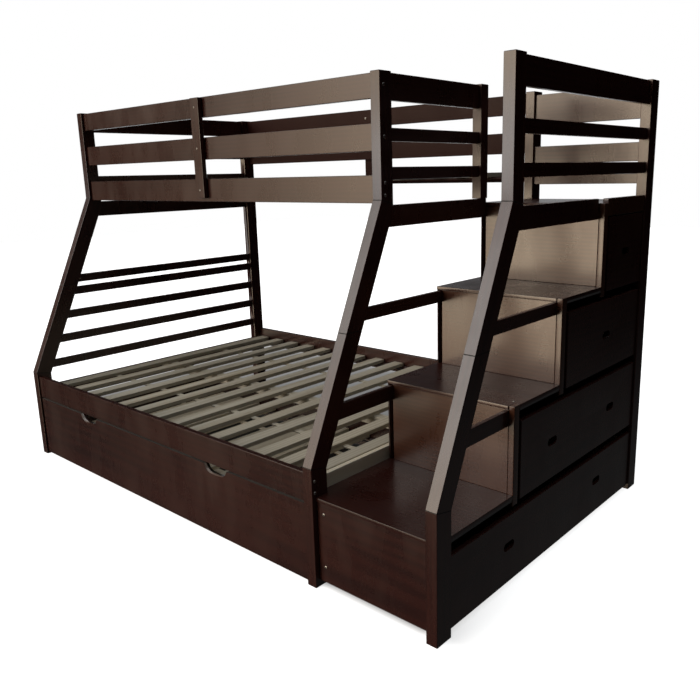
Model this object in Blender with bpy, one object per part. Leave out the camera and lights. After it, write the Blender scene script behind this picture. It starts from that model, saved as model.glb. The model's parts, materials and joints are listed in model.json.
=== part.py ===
"""Twin-over-full bunk bed with a drawer staircase at its right end and a trundle under the lower bed.

Metres, +Z up, front of the bed towards -Y, staircase towards +X. Every sub-part is drawn from the
corner of the left end frame (x = 0, y = 0, z = 0) and hangs from an empty that puts the middle of
the footprint on the world's origin.
"""

from math import atan2, cos, pi, sin, tan

import bmesh
import bpy
from mathutils import Matrix, Vector

# ---------------------------------------------------------------- frames
LENGTH = 2.537          # left end frame to the outer face of the outer frame
BED_LENGTH = 2.028      # left end frame to the outer face of the middle frame
DEPTH = 1.482           # front of the legs to the back of the posts
HEIGHT = 1.706          # top of every post
POST = 0.042            # thickness of the legs and posts along X
LEG = 0.073             # width of the front legs along Y
UPPER_LEG = 0.062       # their width above the lean
BACK_POST = 0.070       # width of the back posts along Y
SETBACK = 0.384         # how far the upper bunk's front stands behind the lower one
LOWER_BEND = 0.434      # height where the front leg starts to lean back
UPPER_BEND = 1.286      # height where it stands upright again
ENTRY_POST_FRONT = 0.996
ENTRY_POST_WIDTH = 0.050

RAIL = 0.018            # thickness of the end frames' rails
RAIL_INSET = 0.012      # rails stand this far behind the outer face of the posts
RAIL_FLUSH = 0.002      # the middle frame's short rails stand nearly flush
TENON = 0.015           # how far the left frame's rails run into the back post
TOP_RAIL = (1.614, 1.703)
GUARD_RAIL_HIGH = (1.481, 1.5255)
GUARD_RAIL_LOW = (1.3525, 1.396)
BUNK_RAIL = (1.192, 1.267)
HAND_RAIL_HIGH = (0.884, 0.928)
HAND_RAIL_LOW = (0.565, 0.620)
END_RAIL = (0.270, 0.355)
LEFT_LOWER_RAILS = ((0.441, 0.480), (0.562, 0.602), (0.681, 0.721), (0.799, 0.839), (0.861, 0.900))

# ---------------------------------------------------------------- beds
SIDE_RAIL = 0.022       # thickness of the long side rails
SIDE_INSET = 0.008      # side rails stand this far behind the legs' front faces
LOWER_SIDE = (0.306, 0.412)
FRONT_UPPER_SIDE = (1.274, 1.369)
BACK_UPPER_SIDE = (1.3225, 1.367)
GUARD_INSET = 0.012     # guard boards stand this far behind the upper posts' faces
BOARD = 0.020           # thickness of the guard boards
FRONT_GUARD_TOP = (1.620, 1.702)
BACK_GUARD_TOP = (1.617, 1.702)
GUARD_MIDDLE = (1.449, 1.540)
STAIR_GUARD = {"low": (1.3125, 1.352), "middle": (1.400, 1.474), "top": (1.563, 1.690)}
BATTEN_WIDTH = 0.056
BATTEN = 0.022
BATTEN_SPAN = (1.289, 1.700)

SLAT_WIDTH = 0.062
SLAT = 0.018
SLAT_COUNT = 14
SLAT_PITCH = 0.1397
FIRST_SLAT = 0.0705     # left edge of the first slat
SLAT_CLEARANCE = 0.003
LOWER_SLAT_TOP = 0.365
UPPER_SLAT_TOP = 1.368
LEDGER = 0.020          # strip along the side rails that carries the slats
LEDGER_MARGIN = 0.030   # the strip stops this far from the end frames
BEAM_WIDTH = 0.045
BEAM_HEIGHT = 0.040
STRAP_WIDTH = 0.025
STRAP = 0.002
PINE_RAIL = (0.290, 0.371)
PINE_RAIL_THICKNESS = 0.020
PINE_RAIL_CLEARANCE = 0.002

# ---------------------------------------------------------------- staircase
STEPS = 4
STEP_RISE = 0.3067
FIRST_TREAD = 0.330     # top of the first tread
TREAD = 0.013
LIP = 0.012             # strip under the outer edge of each tread
LIP_DEPTH = 0.021
LIP_INSET = 0.0005
STAIR_FRONT = 0.020     # front face of the first step
FIRST_RISER = 0.431     # front face of the second step
STEP_RUN = 0.3075
NOSE = 0.004            # treads stand this far proud of the risers
PANEL = 0.012           # plywood of risers, side panel and drawers
PANEL_BOTTOM = 0.026    # panels stop this far above the floor
PANEL_START = 0.083     # front edge of the inner side panel
STAIR_SIDE = 2.000      # outer face of the stairs' inner side panel
RISER_LEFT = 2.0225     # risers leave a narrow groove beside the side panel
CLEAT = 0.018
STILE_INNER = 2.508
STILE = 0.022
STILE_WIDTH = 0.032
STILE_DROP = 0.040      # the stile covers the tread below by this much
STILE_BLOCK = 0.028     # glue block between the riser and the stile
TREAD_OUTER = 2.530
APRON = (1.203, 1.267)  # rail beside the top step
SHELF_INSET = 0.012
BACK_PLY = 0.006

# ---------------------------------------------------------------- drawers
DRAWER_FRONT = 0.018
DRAWER_BACK_EDGE = 1.408
DRAWER_DEPTH = 0.455    # box behind the drawer front
DRAWER_INSET = 0.014    # box sides stand this far inside the front's ends
DRAWER_LEG_INSET = 0.024
DRAWER_TOP_DROP = 0.030
DRAWER_LIFT = 0.0015    # box bottom above its shelf
BOTTOM_PLY = 0.006
SLOT_LENGTH = 0.066
SLOT_HEIGHT = 0.030
SLOT_STEPS = 8
DRAWERS = {             # front edge, bottom, top, finger slots along Y, their height
    1: (0.076, 0.022, 0.266, (0.414, 1.083), 0.157),
    2: (0.478, 0.300, 0.578, (0.698, 1.182), 0.441),
    3: (0.788, 0.6105, 0.8885, (1.112,), 0.749),
    4: (1.095, 0.921, 1.199, (1.255,), 1.059),
}

# ---------------------------------------------------------------- trundle
TRUNDLE_GAP = 0.005
TRUNDLE_INSET = 0.012   # side boards stand this far inside the end frames
TRUNDLE_BOTTOM = 0.012
TRUNDLE_TOP = 0.300
TRUNDLE_DEPTH = 1.020
TRUNDLE_SIDE = (0.045, 0.190)
TRUNDLE_SLAT_TOP = 0.120
NOTCH_WIDTH = 0.146
NOTCH_DEPTH = 0.034
NOTCH_STEPS = 10
NOTCH_CENTRES = (0.520, 1.486)
WHEEL_RADIUS = 0.028
WHEEL_WIDTH = 0.020
WHEEL_NEAR = 0.160
WHEEL_FAR = 0.900
WHEEL_PLAY = 0.0005
WHEEL_REACH = 0.024     # wheel centre to the inner face of the trundle's side board
WHEEL_SIDES = 32
AXLE_RADIUS = 0.005
AXLE_SIDES = 12
AXLE_END = 0.004        # the axle stands this far out of the wheel
BRACKET = 0.006
BRACKET_WIDTH = 0.036
BRACKET_DROP = 0.012

# ---------------------------------------------------------------- joints between pieces
GAP = 0.0003            # clearance between touching pieces
GLUE = 0.002            # overlap of pieces glued into one
EDGE = 0.0020           # eased edges of solid wood
FINE_EDGE = 0.0012      # eased edges of plywood and slats

ESPRESSO = ("espresso_lacquer", (0.030, 0.013, 0.010), 0.32)
PINE = ("pine", (0.47, 0.41, 0.29), 0.60)
BLACK = ("caster_black", (0.012, 0.012, 0.012), 0.45)

INNER_LEFT = POST                       # inner face of the left end frame
INNER_RIGHT = BED_LENGTH - POST         # inner face of the middle frame
OUTER_INNER = LENGTH - POST             # inner face of the outer frame
BACK_FACE = DEPTH - BACK_POST           # front faces of the back posts
LEAN = SETBACK / (UPPER_BEND - LOWER_BEND)
MITRE = LEG * tan(atan2(SETBACK, UPPER_BEND - LOWER_BEND) / 2.0)
LEAN_START = LOWER_BEND - MITRE         # bends of the legs' back faces
LEAN_END = LEAN_START + (SETBACK + UPPER_LEG - LEG) / LEAN
MIDDLE = (INNER_LEFT + INNER_RIGHT) / 2.0


# ---------------------------------------------------------------- scene and materials
def clear_scene():
    for item in list(bpy.data.objects):
        bpy.data.objects.remove(item, do_unlink=True)


def make_material(spec):
    name, colour, roughness = spec
    material = bpy.data.materials.get(name)
    if material is None:
        material = bpy.data.materials.new(name)
        material.use_nodes = True
        shader = material.node_tree.nodes["Principled BSDF"]
        shader.inputs["Base Color"].default_value = (*colour, 1.0)
        shader.inputs["Roughness"].default_value = roughness
    return material


def make_empty(name, location, parent=None):
    empty = bpy.data.objects.new(name, None)
    bpy.context.scene.collection.objects.link(empty)
    empty.location = location
    empty.parent = parent
    return empty


# ---------------------------------------------------------------- solids
def to_object(name, bm, spec, parent, origin):
    """Turns a solid drawn from the corner into an object with its origin at the given point."""
    bmesh.ops.recalc_face_normals(bm, faces=bm.faces)
    bmesh.ops.translate(bm, verts=bm.verts, vec=-Vector(origin))
    mesh = bpy.data.meshes.new(name)
    bm.to_mesh(mesh)
    bm.free()
    mesh.materials.append(make_material(spec))
    item = bpy.data.objects.new(name, mesh)
    bpy.context.scene.collection.objects.link(item)
    item.location = origin
    item.parent = parent
    return item


def ease_edges(bm, width):
    """Eases the outward corners; inward corners stay sharp for the piece that fits into them."""
    if width > 0.0:
        bm.normal_update()
        sharp = [edge for edge in bm.edges if edge.is_convex]
        bmesh.ops.bevel(bm, geom=sharp, offset=width, segments=1, affect="EDGES", clamp_overlap=True)


def box_mesh(low, high, edge=0.0):
    bm = bmesh.new()
    low, high = Vector(low), Vector(high)
    placing = Matrix.Translation((low + high) / 2.0) @ Matrix.Diagonal((*(high - low), 1.0))
    bmesh.ops.create_cube(bm, size=1.0, matrix=placing)
    ease_edges(bm, edge)
    return bm


def prism_mesh(outline, axis, start, end, edge=0.0):
    """Extrudes a closed outline along an axis; the outline gives the two other coordinates."""
    bm = bmesh.new()
    order = {"x": (2, 0, 1), "y": (0, 2, 1), "z": (0, 1, 2)}[axis]

    def point(pair, along):
        values = (pair[0], pair[1], along)
        return Vector([values[i] for i in order])

    face = bm.faces.new([bm.verts.new(point(pair, start)) for pair in outline])
    sweep = bmesh.ops.extrude_face_region(bm, geom=[face])
    moved = [part for part in sweep["geom"] if isinstance(part, bmesh.types.BMVert)]
    bmesh.ops.translate(bm, verts=moved, vec=point((0.0, 0.0), end - start))
    bmesh.ops.recalc_face_normals(bm, faces=bm.faces)
    ease_edges(bm, edge)
    return bm


def cylinder_mesh(centre, radius, half, sides):
    """Cylinder along X around a centre."""
    x, y, z = centre
    turns = [2.0 * pi * step / sides for step in range(sides)]
    outline = [(y + radius * cos(turn), z + radius * sin(turn)) for turn in turns]
    return prism_mesh(outline, "x", x - half, x + half)


def board(name, low, high, parent, spec=ESPRESSO, edge=EDGE):
    middle = (Vector(low) + Vector(high)) / 2.0
    return to_object(name, box_mesh(low, high, edge), spec, parent, middle)


def prism(name, outline, axis, start, end, parent, edge=EDGE):
    bm = prism_mesh(outline, axis, start, end, edge)
    middle = sum((corner.co for corner in bm.verts), Vector()) / len(bm.verts)
    return to_object(name, bm, ESPRESSO, parent, middle)


def combine(item, bm, operation="UNION"):
    """Joins a drawn solid to an object, or cuts it out, and keeps the result as plain mesh."""
    tool = to_object("tool", bm, ESPRESSO, item.parent, item.location)
    change = item.modifiers.new("change", "BOOLEAN")
    change.operation = operation
    change.solver = "EXACT"
    change.object = tool
    bpy.context.view_layer.update()
    depsgraph = bpy.context.evaluated_depsgraph_get()
    result = bpy.data.meshes.new_from_object(item.evaluated_get(depsgraph))
    item.modifiers.clear()
    drawn = item.data
    item.data = result
    bpy.data.meshes.remove(drawn)
    bpy.data.objects.remove(tool, do_unlink=True)
    result.name = item.name
    return item


# ---------------------------------------------------------------- end frames
def leg_back(z):
    """Back face of a front leg at a height; the leg keeps its width across the lean."""
    return min(LEG + max(0.0, (z - LEAN_START) * LEAN), SETBACK + UPPER_LEG)


def front_leg(name, left, parent):
    outline = [(0.0, 0.0), (LEG, 0.0), (LEG, LEAN_START),
               (SETBACK + UPPER_LEG, LEAN_END), (SETBACK + UPPER_LEG, HEIGHT),
               (SETBACK, HEIGHT), (SETBACK, UPPER_BEND), (0.0, LOWER_BEND)]
    return prism(name, outline, "x", left, left + POST, parent)


def back_post(name, left, parent):
    return board(name, (left, BACK_FACE, 0.0), (left + POST, DEPTH, HEIGHT), parent)


def end_rail_outline(span, back):
    """Rail seen from the side: its front end follows the leg's back face."""
    bottom, top = span
    outline = [(leg_back(bottom) + GAP, bottom), (back, bottom), (back, top), (leg_back(top) + GAP, top)]
    if bottom < LEAN_END < top:
        outline.append((leg_back(LEAN_END) + GAP, LEAN_END))
    return outline


def end_rail(name, left, span, back, parent):
    return prism(name, end_rail_outline(span, back), "x", left, left + RAIL, parent)


def guard_rails(frame, left, back, parent):
    end_rail(f"{frame}_top_rail", left, TOP_RAIL, back, parent)
    end_rail(f"{frame}_guard_rail_high", left, GUARD_RAIL_HIGH, back, parent)
    end_rail(f"{frame}_guard_rail_low", left, GUARD_RAIL_LOW, back, parent)


def step_rails(frame, left, parent):
    """Rails between the front leg and the steps: two hand rails and the rail at bunk height."""
    end_rail(f"{frame}_bunk_rail", left, BUNK_RAIL, riser_face(4) - NOSE - GAP, parent)
    end_rail(f"{frame}_hand_rail_high", left, HAND_RAIL_HIGH, riser_face(3) - GAP, parent)
    end_rail(f"{frame}_hand_rail_low", left, HAND_RAIL_LOW, riser_face(2) - GAP, parent)


def left_frame(parent):
    front_leg("left_front_leg", 0.0, parent)
    post = back_post("left_back_post", 0.0, parent)
    for span in LEFT_LOWER_RAILS:
        outline = end_rail_outline(span, BACK_FACE + TENON)
        combine(post, prism_mesh(outline, "x", RAIL_INSET, RAIL_INSET + RAIL, EDGE))
    guard_rails("left", RAIL_INSET, BACK_FACE - GAP, parent)
    end_rail("left_bunk_rail", RAIL_INSET, BUNK_RAIL, BACK_FACE - GAP, parent)
    end_rail("left_end_rail", RAIL_INSET, END_RAIL, BACK_FACE - GAP, parent)


def middle_frame(parent):
    front_leg("middle_front_leg", INNER_RIGHT, parent)
    back_post("middle_back_post", INNER_RIGHT, parent)
    board("middle_entry_post", (INNER_RIGHT, ENTRY_POST_FRONT, BUNK_RAIL[1] + GAP),
          (BED_LENGTH, ENTRY_POST_FRONT + ENTRY_POST_WIDTH, HEIGHT), parent)
    guard_rails("middle", BED_LENGTH - RAIL_INSET - RAIL, ENTRY_POST_FRONT - GAP, parent)
    step_rails("middle", BED_LENGTH - RAIL_FLUSH - RAIL, parent)
    inner = SIDE_INSET + SIDE_RAIL + GAP
    right = INNER_RIGHT - PINE_RAIL_CLEARANCE
    board("lower_end_rail", (right - PINE_RAIL_THICKNESS, inner, PINE_RAIL[0]),
          (right, DEPTH - inner, PINE_RAIL[1]), parent, PINE)


def outer_frame(parent):
    front_leg("outer_front_leg", OUTER_INNER, parent)
    back_post("outer_back_post", OUTER_INNER, parent)
    guard_rails("outer", LENGTH - RAIL_INSET - RAIL, BACK_FACE - GAP, parent)
    step_rails("outer", STILE_INNER - GAP - RAIL, parent)


# ---------------------------------------------------------------- beds
def ledger_rail(name, front, span, slat_top, inward, parent):
    """Long side rail with the strip that carries the slats glued along its inner face."""
    rail = board(name, (INNER_LEFT + GAP, front, span[0]),
                 (INNER_RIGHT - GAP, front + SIDE_RAIL, span[1]), parent)
    near, far = front + SIDE_RAIL - GLUE, front + SIDE_RAIL + LEDGER
    if inward < 0:
        near, far = front - LEDGER, front + GLUE
    top = slat_top - SLAT - GAP
    strip = box_mesh((INNER_LEFT + LEDGER_MARGIN, near, top - LEDGER),
                     (INNER_RIGHT - LEDGER_MARGIN, far, top))
    return combine(rail, strip)


def guard_board(name, left, right, face, span, parent):
    """Long guard board with its outer face against a given plane behind the posts' faces."""
    return board(name, (left + GAP, face, span[0]), (right - GAP, face + BOARD, span[1]), parent)


def slat_deck(name, front, back, top, parent, first=FIRST_SLAT, pitch=SLAT_PITCH):
    """Slats across the bed, joined by two thin straps underneath."""
    last = first + pitch * (SLAT_COUNT - 1)
    under = top - SLAT
    quarter = (back - front) / 4.0
    deck = to_object(name, box_mesh((first, front, under), (first + SLAT_WIDTH, back, top), FINE_EDGE), PINE,
                     parent, (first, front, top))
    for middle in (front + quarter, back - quarter):
        combine(deck, box_mesh((first, middle - STRAP_WIDTH / 2.0, under - STRAP),
                               (last + SLAT_WIDTH, middle + STRAP_WIDTH / 2.0, under + GLUE)))
    for index in range(1, SLAT_COUNT):
        left = first + index * pitch
        combine(deck, box_mesh((left, front, under), (left + SLAT_WIDTH, back, top), FINE_EDGE))
    return deck


def upper_bunk(parent):
    front = SETBACK + GUARD_INSET
    back = DEPTH - GUARD_INSET
    guard_board("front_guard_top", INNER_LEFT, INNER_RIGHT, front, FRONT_GUARD_TOP, parent)
    guard_board("front_guard_middle", INNER_LEFT, INNER_RIGHT, front, GUARD_MIDDLE, parent)
    board("front_batten", (MIDDLE - BATTEN_WIDTH / 2.0, front - GAP - BATTEN, BATTEN_SPAN[0]),
          (MIDDLE + BATTEN_WIDTH / 2.0, front - GAP, BATTEN_SPAN[1]), parent)
    ledger_rail("front_bunk_rail", front, FRONT_UPPER_SIDE, UPPER_SLAT_TOP, 1, parent)

    guard_board("back_guard_top", INNER_LEFT, INNER_RIGHT, back - BOARD, BACK_GUARD_TOP, parent)
    carrier = guard_board("back_guard_middle", INNER_LEFT, INNER_RIGHT, back - BOARD, GUARD_MIDDLE, parent)
    combine(carrier, box_mesh((MIDDLE - BATTEN_WIDTH / 2.0, back + GAP, BATTEN_SPAN[0]),
                              (MIDDLE + BATTEN_WIDTH / 2.0, DEPTH, BATTEN_SPAN[1]), EDGE))
    combine(carrier, box_mesh((MIDDLE - BATTEN, back - GLUE, GUARD_MIDDLE[0] + BATTEN),
                              (MIDDLE + BATTEN, back + GLUE, GUARD_MIDDLE[1] - BATTEN)))
    ledger_rail("back_bunk_rail", back - SIDE_RAIL, BACK_UPPER_SIDE, UPPER_SLAT_TOP, -1, parent)

    inset = GUARD_INSET + SIDE_RAIL + SLAT_CLEARANCE
    slat_deck("upper_slats", SETBACK + inset, DEPTH - inset, UPPER_SLAT_TOP, parent)

    for label, span in STAIR_GUARD.items():
        guard_board(f"stair_guard_{label}", BED_LENGTH, OUTER_INNER, BACK_FACE + GUARD_INSET, span, parent)


def lower_bed(parent):
    ledger_rail("lower_front_rail", SIDE_INSET, LOWER_SIDE, LOWER_SLAT_TOP, 1, parent)
    ledger_rail("lower_back_rail", DEPTH - SIDE_INSET - SIDE_RAIL, LOWER_SIDE, LOWER_SLAT_TOP, -1, parent)
    inset = SIDE_INSET + SIDE_RAIL + SLAT_CLEARANCE
    slat_deck("lower_slats", inset, DEPTH - inset, LOWER_SLAT_TOP, parent)
    top = LOWER_SLAT_TOP - SLAT - GAP
    start = RAIL_INSET + RAIL + GAP
    end = INNER_RIGHT - PINE_RAIL_CLEARANCE - PINE_RAIL_THICKNESS - GAP
    board("lower_beam", (start, (DEPTH - BEAM_WIDTH) / 2.0, top - BEAM_HEIGHT),
          (end, (DEPTH + BEAM_WIDTH) / 2.0, top), parent, PINE)


# ---------------------------------------------------------------- staircase
def tread_top(step):
    return FIRST_TREAD + STEP_RISE * (step - 1)


def tread_bottom(step):
    return tread_top(step) - TREAD


def riser_face(step):
    return STAIR_FRONT if step == 1 else FIRST_RISER + STEP_RUN * (step - 2)


def stair_tread(step, parent):
    """Tread and shelf in one board: wide on the step, narrower where it runs between the panels."""
    front = riser_face(step) - NOSE
    back = BACK_FACE - GAP
    inner = STAIR_SIDE + PANEL + GAP
    outer = STILE_INNER - GAP
    turn = riser_face(step + 1) - GAP
    top = tread_top(step)
    if step == STEPS:
        outline = [(STAIR_SIDE, front), (outer, front), (outer, back), (STAIR_SIDE, back)]
        return prism(f"tread_{step}", outline, "z", tread_bottom(step), top, parent, FINE_EDGE)
    if step == 1:
        lip_start = LEG + GAP
        steps_in = [(STAIR_SIDE, lip_start), (BED_LENGTH + GAP, lip_start), (BED_LENGTH + GAP, front),
                    (OUTER_INNER - GAP, front), (OUTER_INNER - GAP, lip_start)]
    else:
        lip_start = riser_face(step) + STILE_WIDTH + GAP
        steps_in = [(STAIR_SIDE, front), (outer, front), (outer, lip_start)]
    outline = [(STAIR_SIDE, turn), *steps_in, (TREAD_OUTER, lip_start), (TREAD_OUTER, turn),
               (outer, turn), (outer, back), (inner, back), (inner, turn)]
    tread = prism(f"tread_{step}", outline, "z", tread_bottom(step), top, parent, FINE_EDGE)
    lip = box_mesh((TREAD_OUTER - LIP, lip_start + GLUE, top - LIP_DEPTH),
                   (TREAD_OUTER - LIP_INSET, turn - GLUE, tread_bottom(step) + GLUE))
    return combine(tread, lip)


def stair_riser(step, parent):
    """Riser with the stile on its outer end and a cleat behind its inner end."""
    face = riser_face(step)
    low = tread_top(step - 1) + GAP
    high = tread_bottom(step) - GAP
    riser = board(f"riser_{step}", (RISER_LEFT, face, low), (STILE_INNER - GAP, face + PANEL, high),
                  parent, edge=FINE_EDGE)
    combine(riser, box_mesh((STAIR_SIDE + PANEL + GAP, face + PANEL - GLUE, low),
                            (RISER_LEFT + PANEL, face + PANEL + CLEAT, high)))
    combine(riser, box_mesh((STILE_INNER, face, tread_top(step - 1) - STILE_DROP),
                            (STILE_INNER + STILE, face + STILE_WIDTH, tread_top(step)), EDGE))
    combine(riser, box_mesh((STILE_INNER - PANEL, face + PANEL - GLUE, low),
                            (STILE_INNER + GLUE, face + STILE_BLOCK, high)))
    if step == STEPS:
        combine(riser, box_mesh((STILE_INNER, face + STILE_BLOCK, APRON[0]),
                                (STILE_INNER + STILE, BACK_FACE - GAP, APRON[1]), EDGE))
    return riser


def stair_side_outline():
    """Stepped outline of the inner side panel, as pairs along Y and Z."""
    back = BACK_FACE - GAP
    outline = [(back, PANEL_BOTTOM), (PANEL_START, PANEL_BOTTOM), (PANEL_START, tread_bottom(1) - GAP)]
    for step in range(2, STEPS + 1):
        outline.append((riser_face(step), tread_bottom(step - 1) - GAP))
        outline.append((riser_face(step), tread_bottom(step) - GAP))
    outline.append((back, tread_bottom(STEPS) - GAP))
    return outline


def staircase(parent):
    prism("stair_side_panel", stair_side_outline(), "x", STAIR_SIDE, STAIR_SIDE + PANEL, parent, 0.0)
    front = board("stair_front_panel", (BED_LENGTH + GAP, STAIR_FRONT, PANEL_BOTTOM),
                  (OUTER_INNER - GAP, STAIR_FRONT + PANEL, tread_bottom(1) - GAP), parent, edge=FINE_EDGE)
    combine(front, box_mesh((BED_LENGTH + SHELF_INSET, STAIR_FRONT + PANEL - GLUE, PANEL_BOTTOM + GLUE),
                            (OUTER_INNER - SHELF_INSET, BACK_FACE - GAP, PANEL_BOTTOM + GLUE + PANEL)))
    board("stair_back_panel", (BED_LENGTH + GAP, BACK_FACE, PANEL_BOTTOM),
          (OUTER_INNER - GAP, BACK_FACE + BACK_PLY, tread_top(STEPS)), parent, edge=0.0)
    for step in range(1, STEPS + 1):
        stair_tread(step, parent)
    for step in range(2, STEPS + 1):
        stair_riser(step, parent)


# ---------------------------------------------------------------- drawers
def slot_outline(along, height):
    """Outline of a finger slot with round ends, as pairs along Y and Z."""
    radius = SLOT_HEIGHT / 2.0
    half = SLOT_LENGTH / 2.0 - radius
    points = []
    for side in (1.0, -1.0):
        for step in range(SLOT_STEPS + 1):
            angle = -pi / 2.0 + pi * step / SLOT_STEPS
            points.append((along + side * (half + radius * cos(angle)), height + side * radius * sin(angle)))
    return points


def drawer(step, parent):
    """Drawer front with the box glued behind it and the finger slots cut through."""
    front, bottom, top, slots, slot_height = DRAWERS[step]
    outer = STILE_INNER + STILE
    face = outer - DRAWER_FRONT
    item = board(f"drawer_{step}", (face, front, bottom), (outer, DRAWER_BACK_EDGE, top), parent)
    shelf = PANEL_BOTTOM + GLUE + PANEL if step == 1 else tread_top(step - 1)
    near = front + (DRAWER_LEG_INSET if step == 1 else DRAWER_INSET)
    far = DRAWER_BACK_EDGE - DRAWER_INSET
    low, high = shelf + DRAWER_LIFT, top - DRAWER_TOP_DROP
    combine(item, box_mesh((face - DRAWER_DEPTH, near, low), (face + GLUE, far, high)))
    combine(item, box_mesh((face - DRAWER_DEPTH + PANEL, near + PANEL, low + BOTTOM_PLY),
                           (face - GAP, far - PANEL, high + PANEL)), "DIFFERENCE")
    for along in slots:
        slot = prism_mesh(slot_outline(along, slot_height), "x", face - PANEL, outer + PANEL)
        combine(item, slot, "DIFFERENCE")
    return item


# ---------------------------------------------------------------- trundle
def trundle_front_outline():
    """Front panel seen from the front, with two shallow curved pulls in its top edge."""
    left, right = INNER_LEFT + TRUNDLE_GAP, INNER_RIGHT - TRUNDLE_GAP
    outline = [(left, TRUNDLE_BOTTOM), (right, TRUNDLE_BOTTOM), (right, TRUNDLE_TOP)]
    for centre in reversed(NOTCH_CENTRES):
        for step in range(NOTCH_STEPS + 1):
            turn = 1.0 - 2.0 * step / NOTCH_STEPS
            outline.append((centre + turn * NOTCH_WIDTH / 2.0,
                            TRUNDLE_TOP - NOTCH_DEPTH * (1.0 - turn ** 4)))
    outline.append((left, TRUNDLE_TOP))
    return outline


def wheel_places():
    """Name, centre and outward side of each wheel."""
    reach = TRUNDLE_INSET + BOARD + WHEEL_REACH
    left, right = INNER_LEFT + reach, INNER_RIGHT - reach
    return (("left_front", (left, WHEEL_NEAR, WHEEL_RADIUS), -1.0),
            ("right_front", (right, WHEEL_NEAR, WHEEL_RADIUS), 1.0),
            ("left_back", (left, WHEEL_FAR, WHEEL_RADIUS), -1.0),
            ("right_back", (right, WHEEL_FAR, WHEEL_RADIUS), 1.0))


def wheel_bracket(base, centre, side):
    """Plate on the inside of the side board, with the axle pin that runs through the wheel."""
    x, y, z = centre
    inner = x + side * (WHEEL_REACH - BRACKET)
    outer = x + side * (WHEEL_REACH + BRACKET / 2.0)
    combine(base, box_mesh((min(inner, outer), y - BRACKET_WIDTH / 2.0, z - BRACKET_DROP),
                           (max(inner, outer), y + BRACKET_WIDTH / 2.0, TRUNDLE_SIDE[0] + WHEEL_RADIUS)))
    root = side * (WHEEL_REACH - BRACKET / 2.0)
    tip = -side * (WHEEL_WIDTH / 2.0 + AXLE_END)
    middle = (x + (root + tip) / 2.0, y, z)
    combine(base, cylinder_mesh(middle, AXLE_RADIUS, abs(root - tip) / 2.0, AXLE_SIDES))


def trundle_base(parent):
    base = prism("trundle_base", trundle_front_outline(), "y", SIDE_INSET, SIDE_INSET + SIDE_RAIL, parent,
                 edge=0.0)
    left, right = INNER_LEFT + TRUNDLE_INSET, INNER_RIGHT - TRUNDLE_INSET
    near = SIDE_INSET + SIDE_RAIL - GLUE
    low, high = TRUNDLE_SIDE
    combine(base, box_mesh((left, near, low), (left + BOARD, TRUNDLE_DEPTH, high)))
    combine(base, box_mesh((right - BOARD, near, low), (right, TRUNDLE_DEPTH, high)))
    combine(base, box_mesh((left + GLUE, TRUNDLE_DEPTH - BOARD, low + GLUE),
                           (right - GLUE, TRUNDLE_DEPTH - GLUE, high - GLUE)))
    strip_top = TRUNDLE_SLAT_TOP - SLAT - GAP
    far = TRUNDLE_DEPTH - BOARD
    for start, end in ((near, near + GLUE + LEDGER), (far - LEDGER, far + GLUE)):
        combine(base, box_mesh((left + BOARD - GLUE, start, strip_top - LEDGER),
                               (right - BOARD + GLUE, end, strip_top)))
    for _, centre, side in wheel_places():
        wheel_bracket(base, centre, side)
    return base


def trundle_wheel(name, centre, parent):
    bm = cylinder_mesh(centre, WHEEL_RADIUS, WHEEL_WIDTH / 2.0, WHEEL_SIDES)
    wheel = to_object(f"wheel_{name}", bm, BLACK, parent, centre)
    combine(wheel, cylinder_mesh(centre, AXLE_RADIUS + WHEEL_PLAY, WHEEL_WIDTH, AXLE_SIDES), "DIFFERENCE")
    wheel.data.shade_smooth()
    wheel.data.set_sharp_from_angle(angle=pi / 4.0)
    return wheel


def trundle(parent):
    slide = make_empty("trundle_slide", (0.0, 0.0, 0.0), parent)
    trundle_base(slide)
    side = TRUNDLE_INSET + BOARD + SLAT_CLEARANCE
    left, right = INNER_LEFT + side, INNER_RIGHT - side
    front = SIDE_INSET + SIDE_RAIL + SLAT_CLEARANCE
    back = TRUNDLE_DEPTH - BOARD - SLAT_CLEARANCE
    pitch = (right - left - SLAT_WIDTH) / (SLAT_COUNT - 1)
    slat_deck("trundle_slats", front, back, TRUNDLE_SLAT_TOP, slide, left, pitch)
    for name, centre, _ in wheel_places():
        trundle_wheel(name, centre, slide)


# ---------------------------------------------------------------- assembly
def build():
    clear_scene()
    corner = make_empty("corner", (-LENGTH / 2.0, -DEPTH / 2.0, 0.0))
    left_frame(corner)
    middle_frame(corner)
    outer_frame(corner)
    upper_bunk(corner)
    lower_bed(corner)
    staircase(corner)
    for step in DRAWERS:
        drawer(step, corner)
    trundle(corner)


build()
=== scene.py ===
import json
from math import cos, pi, radians, sin

import bmesh
import bpy
from mathutils import Matrix, Vector


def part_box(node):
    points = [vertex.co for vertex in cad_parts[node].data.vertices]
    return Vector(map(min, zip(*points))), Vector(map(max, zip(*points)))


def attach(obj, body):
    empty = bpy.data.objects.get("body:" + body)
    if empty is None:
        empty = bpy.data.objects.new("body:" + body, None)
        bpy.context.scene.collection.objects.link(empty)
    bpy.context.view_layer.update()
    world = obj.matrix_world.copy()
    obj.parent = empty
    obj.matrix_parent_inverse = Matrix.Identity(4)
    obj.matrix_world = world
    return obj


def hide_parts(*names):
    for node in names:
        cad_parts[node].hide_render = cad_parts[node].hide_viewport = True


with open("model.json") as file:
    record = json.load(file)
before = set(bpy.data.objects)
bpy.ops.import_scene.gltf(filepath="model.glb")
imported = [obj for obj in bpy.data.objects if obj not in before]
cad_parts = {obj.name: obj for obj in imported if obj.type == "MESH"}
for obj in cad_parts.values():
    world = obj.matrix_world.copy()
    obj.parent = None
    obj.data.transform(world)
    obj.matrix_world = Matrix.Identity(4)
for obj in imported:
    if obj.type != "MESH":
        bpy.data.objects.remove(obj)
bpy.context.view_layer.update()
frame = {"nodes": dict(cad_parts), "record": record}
nodes = frame["nodes"]
print("frame in:", len(nodes), "parts")

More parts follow.
